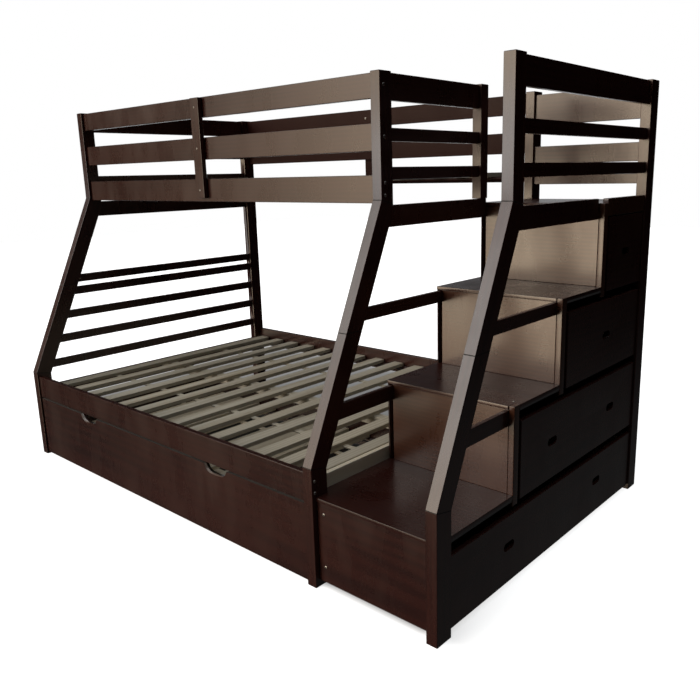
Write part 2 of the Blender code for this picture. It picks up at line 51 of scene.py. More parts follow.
# measurements of the bed that the looks need, in metres
bed = {
    "leanLow": 0.434,        # heights of the front legs' bends
    "leanHigh": 1.286,
    "setback": 0.384,        # how far the leg leans back
    "scarf": 0.855,          # glued joint half way up the lean
    "frontY": -0.741,
}


def link(item):
    bpy.context.scene.collection.objects.link(item)
    return item


# short ways to add and wire the nodes of a material
def addNode(tree, kind, **values):
    node = tree.nodes.new(kind)
    for key, value in values.items():
        setattr(node, key, value)
    return node


def wire(tree, source, target):
    tree.links.new(source, target)


def mathNode(tree, operation, a, b=None):
    node = addNode(tree, "ShaderNodeMath", operation=operation)
    for socket, value in zip(node.inputs, (a, b)):
        if value is None:
            continue
        if isinstance(value, (int, float)):
            socket.default_value = value
        else:
            wire(tree, value, socket)
    return node.outputs[0]


def rangeNode(tree, value, low, high, outLow=0.0, outHigh=1.0, smooth=True):
    node = addNode(tree, "ShaderNodeMapRange", interpolation_type="SMOOTHSTEP" if smooth else "LINEAR")
    wire(tree, value, node.inputs["Value"])
    for name, number in (("From Min", low), ("From Max", high), ("To Min", outLow), ("To Max", outHigh)):
        node.inputs[name].default_value = number
    return node.outputs["Result"]


def mixColours(tree, factor, a, b):
    node = addNode(tree, "ShaderNodeMix", data_type="RGBA")
    sockets = {"Factor": node.inputs[0], "A": node.inputs[6], "B": node.inputs[7]}
    for name, value in (("Factor", factor), ("A", a), ("B", b)):
        socket = sockets[name]
        if isinstance(value, (int, float)):
            socket.default_value = value
        elif isinstance(value, tuple):
            socket.default_value = (*value, 1.0)
        else:
            wire(tree, value, socket)
    return node.outputs[2]


def noiseNode(tree, vector, scale, detail=3.0, rough=0.5):
    node = addNode(tree, "ShaderNodeTexNoise")
    wire(tree, vector, node.inputs["Vector"])
    node.inputs["Scale"].default_value = scale
    node.inputs["Detail"].default_value = detail
    node.inputs["Roughness"].default_value = rough
    return node.outputs["Fac"]


def stretch(tree, vector, scale, shift=(0.0, 0.0, 0.0)):
    node = addNode(tree, "ShaderNodeMapping")
    wire(tree, vector, node.inputs["Vector"])
    node.inputs["Scale"].default_value = scale
    node.inputs["Location"].default_value = shift
    return node.outputs["Vector"]


def newGroup(name, inputs, outputs):
    group = bpy.data.node_groups.new(name, "ShaderNodeTree")
    for label, kind in inputs:
        group.interface.new_socket(name=label, in_out="INPUT", socket_type=kind)
    for label, kind in outputs:
        group.interface.new_socket(name=label, in_out="OUTPUT", socket_type=kind)
    return group, group.nodes.new("NodeGroupInput"), group.nodes.new("NodeGroupOutput")


grainLook = {
    "bendStretch": (0.9, 3.0, 3.0),
    "bendScale": 1.6,
    "ringStretch": (0.55, 5.0, 5.0),
    "ringShift": (0.0, 0.37, 0.21),
    "ringScale": 4.2,
    "ringDistortion": 3.4,
    "ringDetail": 2.0,
    "ringDetailScale": 0.9,
    "ringShare": 0.45,
    "streakStretch": (1.6, 60.0, 60.0),
    "streakScale": 1.4,
    "streakShare": 0.55,
    "poreStretch": (14.0, 260.0, 260.0),
    "poreScale": 2.2,
    "poreRange": (0.52, 0.74),
}


# grain of a board whose length runs along the vector's first coordinate
def makeGrainGroup():
    group, entry, leave = newGroup(
        "boardGrain", [("Vector", "NodeSocketVector")],
        [("Grain", "NodeSocketFloat"), ("Pores", "NodeSocketFloat"), ("Cloud", "NodeSocketFloat")])
    vector = entry.outputs["Vector"]
    bend = noiseNode(group, stretch(group, vector, grainLook["bendStretch"]), grainLook["bendScale"], 2.0)
    wave = addNode(group, "ShaderNodeTexWave", wave_type="RINGS", rings_direction="X", wave_profile="SIN")
    rings = stretch(group, vector, grainLook["ringStretch"], grainLook["ringShift"])
    wire(group, rings, wave.inputs["Vector"])
    wave.inputs["Scale"].default_value = grainLook["ringScale"]
    wave.inputs["Distortion"].default_value = grainLook["ringDistortion"]
    wave.inputs["Detail"].default_value = grainLook["ringDetail"]
    wave.inputs["Detail Scale"].default_value = grainLook["ringDetailScale"]
    lines = stretch(group, vector, grainLook["streakStretch"])
    streaks = noiseNode(group, lines, grainLook["streakScale"], 3.0, 0.6)
    grain = mathNode(group, "ADD", mathNode(group, "MULTIPLY", wave.outputs["Fac"], grainLook["ringShare"]),
                     mathNode(group, "MULTIPLY", streaks, grainLook["streakShare"]))
    dashes = stretch(group, vector, grainLook["poreStretch"])
    pores = noiseNode(group, dashes, grainLook["poreScale"], 2.0, 0.7)
    wire(group, grain, leave.inputs["Grain"])
    wire(group, rangeNode(group, pores, *grainLook["poreRange"]), leave.inputs["Pores"])
    wire(group, bend, leave.inputs["Cloud"])
    return group


lacquerLook = {
    "waveScale": 3.5,
    "waveHeight": 0.22,
    "peelScale": 210.0,
    "peelHeight": 0.02,
    "smearStretch": (6.0, 6.0, 2.0),
    "smearScale": 1.3,
    "smearRange": (0.3, 0.75),
    "smearRoughness": (-0.05, 0.07),
    "poreRoughness": 0.025,
    "poreDepth": 0.03,
    "dustScale": 46.0,
    "dustRange": (0.5, 0.8),
    "dustSlope": (0.7, 1.0),
}


# lacquer that has settled: slow waves, orange peel and a little dust on what faces up
def makeLacquerGroup():
    group, entry, leave = newGroup(
        "lacquerSkin", [("Vector", "NodeSocketVector"), ("Pores", "NodeSocketFloat")],
        [("Roughness", "NodeSocketFloat"), ("Height", "NodeSocketFloat"), ("Dust", "NodeSocketFloat")])
    vector = entry.outputs["Vector"]
    slow = noiseNode(group, vector, lacquerLook["waveScale"], 2.0)
    peel = noiseNode(group, vector, lacquerLook["peelScale"], 2.0)
    wiped = stretch(group, vector, lacquerLook["smearStretch"])
    smear = noiseNode(group, wiped, lacquerLook["smearScale"], 4.0, 0.65)
    pores = entry.outputs["Pores"]
    roughness = mathNode(
        group, "ADD", rangeNode(group, smear, *lacquerLook["smearRange"], *lacquerLook["smearRoughness"]),
        mathNode(group, "MULTIPLY", pores, lacquerLook["poreRoughness"]))
    height = mathNode(group, "ADD", mathNode(group, "MULTIPLY", slow, lacquerLook["waveHeight"]),
                      mathNode(group, "MULTIPLY", peel, lacquerLook["peelHeight"]))
    height = mathNode(group, "SUBTRACT", height, mathNode(group, "MULTIPLY", pores, lacquerLook["poreDepth"]))
    geometry = addNode(group, "ShaderNodeNewGeometry")
    parts = addNode(group, "ShaderNodeSeparateXYZ")
    wire(group, geometry.outputs["Normal"], parts.inputs[0])
    speck = noiseNode(group, vector, lacquerLook["dustScale"], 3.0, 0.6)
    dust = mathNode(group, "MULTIPLY", rangeNode(group, parts.outputs["Z"], *lacquerLook["dustSlope"]),
                    rangeNode(group, speck, *lacquerLook["dustRange"]))
    wire(group, roughness, leave.inputs["Roughness"])
    wire(group, height, leave.inputs["Height"])
    wire(group, dust, leave.inputs["Dust"])
    return group


grainGroup = makeGrainGroup()
lacquerGroup = makeLacquerGroup()

espresso = {
    "dark": (0.0205, 0.0048, 0.0036),
    "middle": (0.0320, 0.0078, 0.0055),
    "light": (0.0450, 0.0125, 0.0085),
    "dust": (0.20, 0.16, 0.12),
    "roughness": 0.29,
    "coat": 0.30,
    "coatRoughness": 0.17,
    "gloss": 0.5,
    "bump": 0.08,
    "bumpDistance": 0.0010,
    "toneRange": (0.25, 0.75),
    "cloudRange": (0.35, 0.68),
    "cloudShare": 0.55,
    "poreShare": 0.45,
    "dustShare": 0.02,
    # near-black for the legs' glue lines, and for the painted shade along the trundle's top edge
    "seamAndGapShade": (0.0030, 0.0012, 0.0010),
    "seamHalf": 0.0016,
    "seamSlope": 0.22,
    "seamDepth": 14.0,
    "seamRoughness": 0.4,
}


def startMaterial(name):
    material = bpy.data.materials.new(name)
    material.use_nodes = True
    tree = material.node_tree
    shader = tree.nodes["Principled BSDF"]
    place = addNode(tree, "ShaderNodeTexCoord").outputs["Object"]
    return material, tree, shader, place


# turns the place on the object so that the first coordinate runs along the board
def alongGrain(tree, place, axis):
    parts = addNode(tree, "ShaderNodeSeparateXYZ")
    wire(tree, place, parts.inputs[0])
    x, y, z = parts.outputs
    if axis == "lean":
        shift = rangeNode(tree, z, bed["leanLow"], bed["leanHigh"], 0.0, bed["setback"], smooth=False)
        y = mathNode(tree, "SUBTRACT", y, shift)
    order = {"x": (x, y, z), "y": (y, x, z), "z": (z, x, y), "lean": (z, x, y)}[axis]
    joined = addNode(tree, "ShaderNodeCombineXYZ")
    for socket, value in zip(joined.inputs, order):
        wire(tree, value, socket)
    return joined.outputs[0], y, z


def legSeams(tree, y, z):
    # thin glue lines where the leg's three lengths meet, and the scarf half way up
    total = None
    slanted = espresso["seamSlope"]
    for height, slope in ((bed["leanLow"], slanted), (bed["leanHigh"], slanted), (bed["scarf"], 0.0)):
        depth = mathNode(tree, "SUBTRACT", y, bed["frontY"])
        line = mathNode(tree, "ADD", mathNode(tree, "SUBTRACT", z, height),
                        mathNode(tree, "MULTIPLY", depth, slope))
        near = mathNode(tree, "LESS_THAN", mathNode(tree, "ABSOLUTE", line), espresso["seamHalf"])
        total = near if total is None else mathNode(tree, "MAXIMUM", total, near)
    return total


def espressoMaterial(name, axis, seams=False, settings=espresso):
    material, tree, shader, place = startMaterial(name)
    vector, y, z = alongGrain(tree, place, axis)
    grain = addNode(tree, "ShaderNodeGroup", node_tree=grainGroup)
    wire(tree, vector, grain.inputs["Vector"])
    skin = addNode(tree, "ShaderNodeGroup", node_tree=lacquerGroup)
    wire(tree, place, skin.inputs["Vector"])
    wire(tree, grain.outputs["Pores"], skin.inputs["Pores"])
    tone = rangeNode(tree, grain.outputs["Grain"], *settings["toneRange"])
    cloud = rangeNode(tree, grain.outputs["Cloud"], *settings["cloudRange"])
    colour = mixColours(tree, tone, settings["dark"], settings["middle"])
    for amount, share, tint in ((cloud, settings["cloudShare"], settings["light"]),
                                (grain.outputs["Pores"], settings["poreShare"], settings["dark"]),
                                (skin.outputs["Dust"], settings["dustShare"], settings["dust"])):
        colour = mixColours(tree, mathNode(tree, "MULTIPLY", amount, share), colour, tint)
    height = skin.outputs["Height"]
    roughness = mathNode(tree, "ADD", skin.outputs["Roughness"], settings["roughness"])
    if seams:
        line = legSeams(tree, y, z)
        colour = mixColours(tree, line, colour, settings["seamAndGapShade"])
        height = mathNode(tree, "SUBTRACT", height, mathNode(tree, "MULTIPLY", line, settings["seamDepth"]))
        dull = mathNode(tree, "MULTIPLY", line, settings["seamRoughness"])
        roughness = mathNode(tree, "ADD", roughness, dull)
        coat = mathNode(tree, "MULTIPLY", mathNode(tree, "SUBTRACT", 1.0, line), settings["coat"])
        wire(tree, coat, shader.inputs["Coat Weight"])
    wire(tree, colour, shader.inputs["Base Color"])
    wire(tree, roughness, shader.inputs["Roughness"])
    bump = addNode(tree, "ShaderNodeBump")
    bump.inputs["Strength"].default_value = settings["bump"]
    bump.inputs["Distance"].default_value = settings["bumpDistance"]
    wire(tree, height, bump.inputs["Height"])
    wire(tree, bump.outputs["Normal"], shader.inputs["Normal"])
    shader.inputs["Specular IOR Level"].default_value = settings["gloss"]
    shader.inputs["Coat Weight"].default_value = settings["coat"]
    shader.inputs["Coat Roughness"].default_value = settings["coatRoughness"]
    return material


drawerBox = {
    "front": 0.0195,         # depth of the lacquered front, with a little spare
    "pale": (0.400, 0.290, 0.175),
    "warm": (0.300, 0.200, 0.110),
    "roughness": 0.62,
    "figureStretch": (3.0, 9.0, 30.0),
    "figureScale": 2.0,
    "figureRange": (0.35, 0.65),
}


# the front keeps its lacquer, and the box behind it is bare plywood
def drawerMaterial(frontX):
    material = espressoMaterial("espressoDrawer", "y")
    tree = material.node_tree
    shader = tree.nodes["Principled BSDF"]
    place = addNode(tree, "ShaderNodeTexCoord").outputs["Object"]
    parts = addNode(tree, "ShaderNodeSeparateXYZ")
    wire(tree, place, parts.inputs[0])
    box = mathNode(tree, "LESS_THAN", parts.outputs["X"], frontX - drawerBox["front"])
    figure = noiseNode(tree, stretch(tree, place, drawerBox["figureStretch"]), drawerBox["figureScale"], 3.0)
    tone = rangeNode(tree, figure, *drawerBox["figureRange"])
    bare = mixColours(tree, tone, drawerBox["pale"], drawerBox["warm"])
    lacquer = shader.inputs["Base Color"].links[0].from_socket
    wire(tree, mixColours(tree, box, lacquer, bare), shader.inputs["Base Color"])
    shine = shader.inputs["Roughness"].links[0].from_socket
    dull = mathNode(tree, "MULTIPLY", box, drawerBox["roughness"] - espresso["roughness"])
    wire(tree, mathNode(tree, "ADD", shine, dull), shader.inputs["Roughness"])
    coat = mathNode(tree, "MULTIPLY", mathNode(tree, "SUBTRACT", 1.0, box), espresso["coat"])
    wire(tree, coat, shader.inputs["Coat Weight"])
    return material


trundleEdgeShade = {
    "height": 0.2985,        # the panel's top edge, under the rail
    "depth": 0.022,
    "roughness": 0.5,
}


# the trundle's panel, with painted shade along its top edge in place of the dark gap above it
def trundleMaterial():
    material = espressoMaterial("espressoTrundle", "x")
    tree = material.node_tree
    shader = tree.nodes["Principled BSDF"]
    parts = addNode(tree, "ShaderNodeSeparateXYZ")
    wire(tree, addNode(tree, "ShaderNodeTexCoord").outputs["Object"], parts.inputs[0])
    # painted shade: the panel's top front edge is darkened, dulled and left uncoated where the gap above it
    # lies in shadow
    high = mathNode(tree, "GREATER_THAN", parts.outputs["Z"], trundleEdgeShade["height"])
    front = mathNode(tree, "LESS_THAN", parts.outputs["Y"], bed["frontY"] + trundleEdgeShade["depth"])
    dark = mathNode(tree, "MULTIPLY", high, front)
    lacquer = shader.inputs["Base Color"].links[0].from_socket
    wire(tree, mixColours(tree, dark, lacquer, espresso["seamAndGapShade"]), shader.inputs["Base Color"])
    shine = shader.inputs["Roughness"].links[0].from_socket
    dull = mathNode(tree, "MULTIPLY", dark, trundleEdgeShade["roughness"])
    wire(tree, mathNode(tree, "ADD", shine, dull), shader.inputs["Roughness"])
    coat = mathNode(tree, "MULTIPLY", mathNode(tree, "SUBTRACT", 1.0, dark), espresso["coat"])
    wire(tree, coat, shader.inputs["Coat Weight"])
    return material


pine = {
    "pale": (0.540, 0.490, 0.390),
    "warm": (0.430, 0.365, 0.262),
    "grey": (0.370, 0.342, 0.280),
    "knot": (0.130, 0.065, 0.030),
    "firstSlat": -1.234,
    "pitch": 0.1397,
    "roughness": 0.62,
    "poreRoughness": 0.12,
    "toneRange": (0.28, 0.72),
    "greyShare": 0.55,
    "knotStretch": (2.1, 7.0, 7.0),
    "knotRange": (0.045, 0.10),
    "knotShare": 0.75,
    "bump": 0.25,
    "bumpDistance": 0.0008,
}


def pineMaterial(name, axis, settings=pine):
    material, tree, shader, place = startMaterial(name)
    vector, y, z = alongGrain(tree, place, axis)
    # every slat is cut from another board, so its tone and its place in the grain change with it
    parts = addNode(tree, "ShaderNodeSeparateXYZ")
    wire(tree, place, parts.inputs[0])
    along = mathNode(tree, "SUBTRACT", parts.outputs["X"], settings["firstSlat"])
    number = mathNode(tree, "FLOOR", mathNode(tree, "DIVIDE", along, settings["pitch"]))
    chance = addNode(tree, "ShaderNodeTexWhiteNoise", noise_dimensions="1D")
    wire(tree, number, chance.inputs["W"])
    lifted = addNode(tree, "ShaderNodeVectorMath", operation="ADD")
    wire(tree, vector, lifted.inputs[0])
    wire(tree, chance.outputs["Color"], lifted.inputs[1])
    grain = addNode(tree, "ShaderNodeGroup", node_tree=grainGroup)
    wire(tree, lifted.outputs[0], grain.inputs["Vector"])
    tone = rangeNode(tree, grain.outputs["Grain"], *settings["toneRange"])
    colour = mixColours(tree, tone, settings["pale"], settings["warm"])
    grey = mathNode(tree, "MULTIPLY", chance.outputs["Value"], settings["greyShare"])
    colour = mixColours(tree, grey, colour, settings["grey"])
    spots = addNode(tree, "ShaderNodeTexVoronoi", feature="F1")
    wire(tree, stretch(tree, lifted.outputs[0], settings["knotStretch"]), spots.inputs["Vector"])
    spots.inputs["Scale"].default_value = 1.0
    knot = rangeNode(tree, spots.outputs["Distance"], *settings["knotRange"], 1.0, 0.0)
    knot = mathNode(tree, "MULTIPLY", knot, settings["knotShare"])
    colour = mixColours(tree, knot, colour, settings["knot"])
    wire(tree, colour, shader.inputs["Base Color"])
    dull = mathNode(tree, "MULTIPLY", grain.outputs["Pores"], settings["poreRoughness"])
    wire(tree, mathNode(tree, "ADD", dull, settings["roughness"]), shader.inputs["Roughness"])
    bump = addNode(tree, "ShaderNodeBump")
    bump.inputs["Strength"].default_value = settings["bump"]
    bump.inputs["Distance"].default_value = settings["bumpDistance"]
    wire(tree, grain.outputs["Grain"], bump.inputs["Height"])
    wire(tree, bump.outputs["Normal"], shader.inputs["Normal"])
    return material


marksLook = {
    "scale": 320.0,
    "colourRange": (0.4, 0.7),
    "roughRange": (0.3, 0.7),
    "smoother": 0.06,
    "rougher": 0.10,
    "bump": 0.15,
    "bumpDistance": 0.0002,
}


def metalMaterial(name, colour, worn, roughness, metallic):
    material, tree, shader, place = startMaterial(name)
    marks = noiseNode(tree, place, marksLook["scale"], 3.0, 0.6)
    tint = mixColours(tree, rangeNode(tree, marks, *marksLook["colourRange"]), colour, worn)
    wire(tree, tint, shader.inputs["Base Color"])
    rough = rangeNode(tree, marks, *marksLook["roughRange"],
                      roughness - marksLook["smoother"], roughness + marksLook["rougher"])
    wire(tree, rough, shader.inputs["Roughness"])
    shader.inputs["Metallic"].default_value = metallic
    bump = addNode(tree, "ShaderNodeBump")
    bump.inputs["Strength"].default_value = marksLook["bump"]
    bump.inputs["Distance"].default_value = marksLook["bumpDistance"]
    wire(tree, marks, bump.inputs["Height"])
    wire(tree, bump.outputs["Normal"], shader.inputs["Normal"])
    return material


# the lacquer painted darker and duller on the upper bunk's back boards, as painted shade
shadedInnerFace = dict(espresso, gloss=0.08, coat=0.02, roughness=0.42, middle=(0.0190, 0.0048, 0.0036),
                 light=(0.0250, 0.0070, 0.0050))

# pine painted paler as painted light, for the trundle's slats and the low end rail
paintedLightPine = dict(pine, pale=(0.76, 0.68, 0.52), warm=(0.66, 0.56, 0.40), grey=(0.58, 0.52, 0.42))

# the lacquer painted warmer and lighter on the risers, as painted light
paintedLightRiser = dict(espresso, dark=(0.034, 0.0098, 0.0046), middle=(0.048, 0.0145, 0.0066),
                 light=(0.060, 0.0200, 0.0092), bump=0.06)

steel = {"colour": (0.50, 0.49, 0.46), "worn": (0.30, 0.29, 0.27), "roughness": 0.34, "metallic": 1.0}
# near-black steel for the sockets' floors: painted shadow in the recess
socket = {"colour": (0.02, 0.02, 0.02), "worn": (0.05, 0.045, 0.04), "roughness": 0.55, "metallic": 0.6}
caster = {"colour": (0.014, 0.014, 0.014), "worn": (0.035, 0.034, 0.032), "roughness": 0.42, "metallic": 0.0}

finish = {
    "riser": espressoMaterial("espressoLitRiser", "x", settings=paintedLightRiser),
    "paintedLightPine": pineMaterial("pinePaintedLight", "y", settings=paintedLightPine),
    "paintedShadeInner": espressoMaterial("espressoShadedInner", "x", settings=shadedInnerFace),
    "trundle": trundleMaterial(),
    "drawer": drawerMaterial(max(corner[0] for corner in nodes["drawer_1"].bound_box)),
    "alongX": espressoMaterial("espressoAlongX", "x"),
    "alongY": espressoMaterial("espressoAlongY", "y"),
    "alongZ": espressoMaterial("espressoAlongZ", "z"),
    "leaning": espressoMaterial("espressoLeg", "lean", seams=True),
    "slats": pineMaterial("pineSlats", "y"),
    "pineX": pineMaterial("pineBeam", "x"),
    "steel": metalMaterial("zincSteel", **steel),
    "socket": metalMaterial("socketShadow", **socket),
    "caster": metalMaterial("casterPlastic", **caster),
}
print("materials made:", len(finish))


def grainOf(name):
    if name.startswith("back_guard") or name == "back_bunk_rail":
        return "paintedShadeInner"
    if name.startswith("wheel_"):
        return "caster"
    if name in ("trundle_slats", "lower_end_rail"):
        return "paintedLightPine"
    if name in ("lower_slats", "upper_slats"):
        return "slats"
    if name == "lower_beam":
        return "pineX"
    if name.endswith("front_leg"):
        return "leaning"
    if name.endswith(("back_post", "entry_post", "batten")):
        return "alongZ"
    if name.startswith("drawer"):
        return "drawer"
    if name == "trundle_base":
        return "trundle"
    if name.startswith("riser"):
        return "riser"
    if name == "front_bunk_rail":
        return "alongX"
    crossing = name.endswith(("bunk_rail", "end_rail", "top_rail", "side_panel"))
    return "alongY" if crossing or "hand_rail" in name or "guard_rail" in name else "alongX"


soften = {
    "weld": 0.00002,
    "flat": 0.4,             # degrees under which two faces are one
    "sharp": 60.0,
    "weight": 100,
}


# carries a part over with its small chamfers shaded as soft roundings
def softCopy(name, body):
    source = nodes[name]
    mesh = source.data.copy()
    mesh.name = name + "Skin"
    bm = bmesh.new()
    bm.from_mesh(mesh)
    bmesh.ops.remove_doubles(bm, verts=bm.verts, dist=soften["weld"])
    bmesh.ops.dissolve_limit(bm, angle_limit=radians(soften["flat"]), verts=bm.verts, edges=bm.edges)
    bm.to_mesh(mesh)
    bm.free()
    mesh.shade_smooth()
    mesh.set_sharp_from_angle(angle=radians(soften["sharp"]))
    item = link(bpy.data.objects.new(name + "Skin", mesh))
    key = grainOf(name)
    mesh.materials.clear()
    mesh.materials.append(finish[key])
    weigh = item.modifiers.new("soft edges", "WEIGHTED_NORMAL")
    weigh.mode = "FACE_AREA"
    weigh.weight = soften["weight"]
    weigh.keep_sharp = True
    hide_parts(name)
    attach(item, body)
    return item


bodyOf = {}
for body, members in frame["record"]["behaviour"]["bodies"].items():
    for member in members:
        bodyOf[member] = body

skins = {name: softCopy(name, bodyOf[name]) for name in sorted(nodes)}
print("parts dressed:", len(skins))

# bolts, screws and cam covers, set out from the parts that they hold; distances in metres
fastener = {
    "dome": 0.0016,
    "sides": 24,
    "sharp": 50.0,
    "profile": ((1.0, 0.0), (0.97, 0.5), (0.80, 0.9)),   # shares of the radius and of the dome
    "socket": 0.48,          # share of the radius
    "socketRim": 1.15,
    "socketFlat": 0.87,
    "socketFloor": 0.15,     # share of the dome
    "pair": 0.021,           # half the distance between two bolts of a pair
    "postInset": 0.009,      # post bolts, behind the front of the guard boards
    "legInset": 0.0065,      # leg bolts, behind the front of the side rail
    "legRise": 0.008,        # and above its middle
    "camInset": 0.030,       # cams, from the panel's left end, top and bottom
    "camDrop": 0.041,
    "camLift": 0.057,
    "lowerRail": 0.8805,     # height of the highest lower rail at the left end
    "capReach": 0.088,       # its cap, behind the slanted leg's front
    "endInset": 0.012,       # screw at the left end of the back board
    "pinInset": (0.032, 0.052),
    "screw": 0.0040,
    "boardScrew": 0.0050,
    "bolt": 0.0060,
    "cam": 0.0055,
    "cap": 0.0045,
    "pin": 0.0035,
}


def middleOf(name, axis):
    low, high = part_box(name)
    return (low[axis] + high[axis]) / 2


def fastenerPlaces():
    forward, sideways, upward = (0, -1, 0), (1, 0, 0), (0, 0, 1)
    boards = [middleOf(name, 2) for name in ("front_guard_top", "front_guard_middle", "front_bunk_rail")]
    top, middle, bottom = boards
    places = []
    across, face = middleOf("front_batten", 0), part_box("front_batten")[0].y
    for height in boards:
        places.append(("battenScrew", (across, face, height), forward, fastener["screw"]))
    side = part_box("middle_front_leg")[1].x
    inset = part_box("front_guard_top")[0].y + fastener["postInset"]
    for height in (top, middle, bottom + fastener["pair"], bottom - fastener["pair"]):
        places.append(("postBolt", (side, inset, height), sideways, fastener["bolt"]))
    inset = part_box("lower_front_rail")[0].y + fastener["legInset"]
    centre = middleOf("lower_front_rail", 2) + fastener["legRise"]
    for height in (centre + fastener["pair"], centre - fastener["pair"]):
        places.append(("legBolt", (side, inset, height), sideways, fastener["bolt"]))
    low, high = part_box("stair_front_panel")
    for height in (high.z - fastener["camDrop"], low.z + fastener["camLift"]):
        places.append(("panelCam", (low.x + fastener["camInset"], low.y, height), forward, fastener["cam"]))
    height = fastener["lowerRail"]
    lean = (height - bed["leanLow"]) / (bed["leanHigh"] - bed["leanLow"]) * bed["setback"]
    behind = bed["frontY"] + lean + fastener["capReach"]
    places.append(("railCap", (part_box("left_end_rail")[1].x, behind, height), sideways, fastener["cap"]))
    low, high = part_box("back_guard_top")
    for place in ((across, low.y, (low.z + high.z) / 2), (across, low.y, middle),
                  (low.x + fastener["endInset"], low.y, middle)):
        places.append(("boardScrew", place, forward, fastener["boardScrew"]))
    low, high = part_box("tread_2")
    insetX, insetY = fastener["pinInset"]
    places.append(("treadPin", (high.x - insetX, low.y + insetY, high.z), upward, fastener["pin"]))
    return places


def fastenerMesh(name, radius):
    # a low dome with a six-sided socket sunk into it
    dome, sides = fastener["dome"], fastener["sides"]
    socketSize = radius * fastener["socket"]
    bm = bmesh.new()
    rings = []
    profile = [(radius * reach, dome * rise) for reach, rise in fastener["profile"]]
    for reach, height in profile + [(socketSize * fastener["socketRim"], dome)]:
        rings.append([bm.verts.new((reach * cos(2 * pi * i / sides), reach * sin(2 * pi * i / sides), height))
                      for i in range(sides)])
    for height in (dome, dome * fastener["socketFloor"]):
        ring = []
        for i in range(sides):
            turn = 2 * pi * i / sides
            reach = socketSize * fastener["socketFlat"] / cos((turn % (pi / 3)) - pi / 6)
            ring.append(bm.verts.new((reach * cos(turn), reach * sin(turn), height)))
        rings.append(ring)
    for lower, upper in zip(rings, rings[1:]):
        for i in range(sides):
            bm.faces.new((lower[i], lower[(i + 1) % sides], upper[(i + 1) % sides], upper[i]))
    bottom = bm.faces.new(rings[-1])
    bottom.material_index = 1
    bm.faces.new(list(reversed(rings[0])))
    bmesh.ops.recalc_face_normals(bm, faces=bm.faces)
    mesh = bpy.data.meshes.new(name)
    bm.to_mesh(mesh)
    bm.free()
    mesh.shade_smooth()
    mesh.set_sharp_from_angle(angle=radians(fastener["sharp"]))
    mesh.materials.append(finish["steel"])
    mesh.materials.append(finish["socket"])
    return mesh


fastenings = fastenerPlaces()
for index, (kind, place, facing, radius) in enumerate(fastenings):
    mesh = fastenerMesh(f"{kind}{index}", radius)
    item = link(bpy.data.objects.new(f"{kind}{index}", mesh))
    turned = Vector(facing).to_track_quat("Z", "Y").to_matrix().to_4x4()
    item.matrix_world = Matrix.Translation(Vector(place)) @ turned
    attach(item, "bed")
print("fasteners in:", len(fastenings))

# floor, light and camera
studio = {
    "floorColour": (0.93, 0.93, 0.93),
    "floorDull": (0.90, 0.90, 0.90),
    "floorSize": 30.0,
    "floorDrop": 0.0006,
    "floorGlow": 0.86,
    "floorRoughness": 0.9,
    "shadeColour": (0.03, 0.025, 0.02),
    "shade": (1.17, 0.66),   # half size of the shade painted on the floor under the bed
    "shadeEdge": 0.07,
    "shadeLeft": 0.25,
    "shadeBack": (0.30, 1.05),
    "shadeTail": {"right": 0.42, "left": 1.7, "reach": -1.95, "start": 1.45, "end": 2.05, "edge": 0.34,
                  "depth": 0.84, "leftEdge": 0.1, "reachEdge": 0.6},
    "rearColour": (0.96, 0.98, 1.0),
    "rearStrength": 1.1,
    "rearDeep": (0.0, 0.7),
    "rearSide": (0.0, -0.40),
    "rearTop": (0.0, 0.17),
    "rearFoot": (-0.65, -0.35),
    "paper": 1.0,            # brightness of the plain background
    "wallColour": (1.0, 0.81, 0.59),
    "windowColour": (1.0, 0.97, 0.93),
    "windowRise": (0.05, 0.45),
    "wallStrength": 7.9,
    "wallFoot": (-0.37, -0.15),
    "wallDim": (0.02, 0.30),
    "wallUpper": 0.58,       # share of the wall's light that is left above that
    "wallTop": (0.55, 0.75),
    "turnStart": (-0.10, 0.30),
    "turnFull": 0.37,        # the lit wall fades out between these directions, in radians
    "turnDark": 0.99,
    "turnShift": 0.30,       # and reaches further round where it is higher
    "zenithColour": (0.93, 0.97, 1.0),
    "zenithStrength": 0.78,
    "zenithRise": (0.66, 0.84),
    "floorLightColour": (0.94, 0.97, 0.97),
    "floorLight": 0.052,
    "floorRise": (-0.45, -0.10),
}


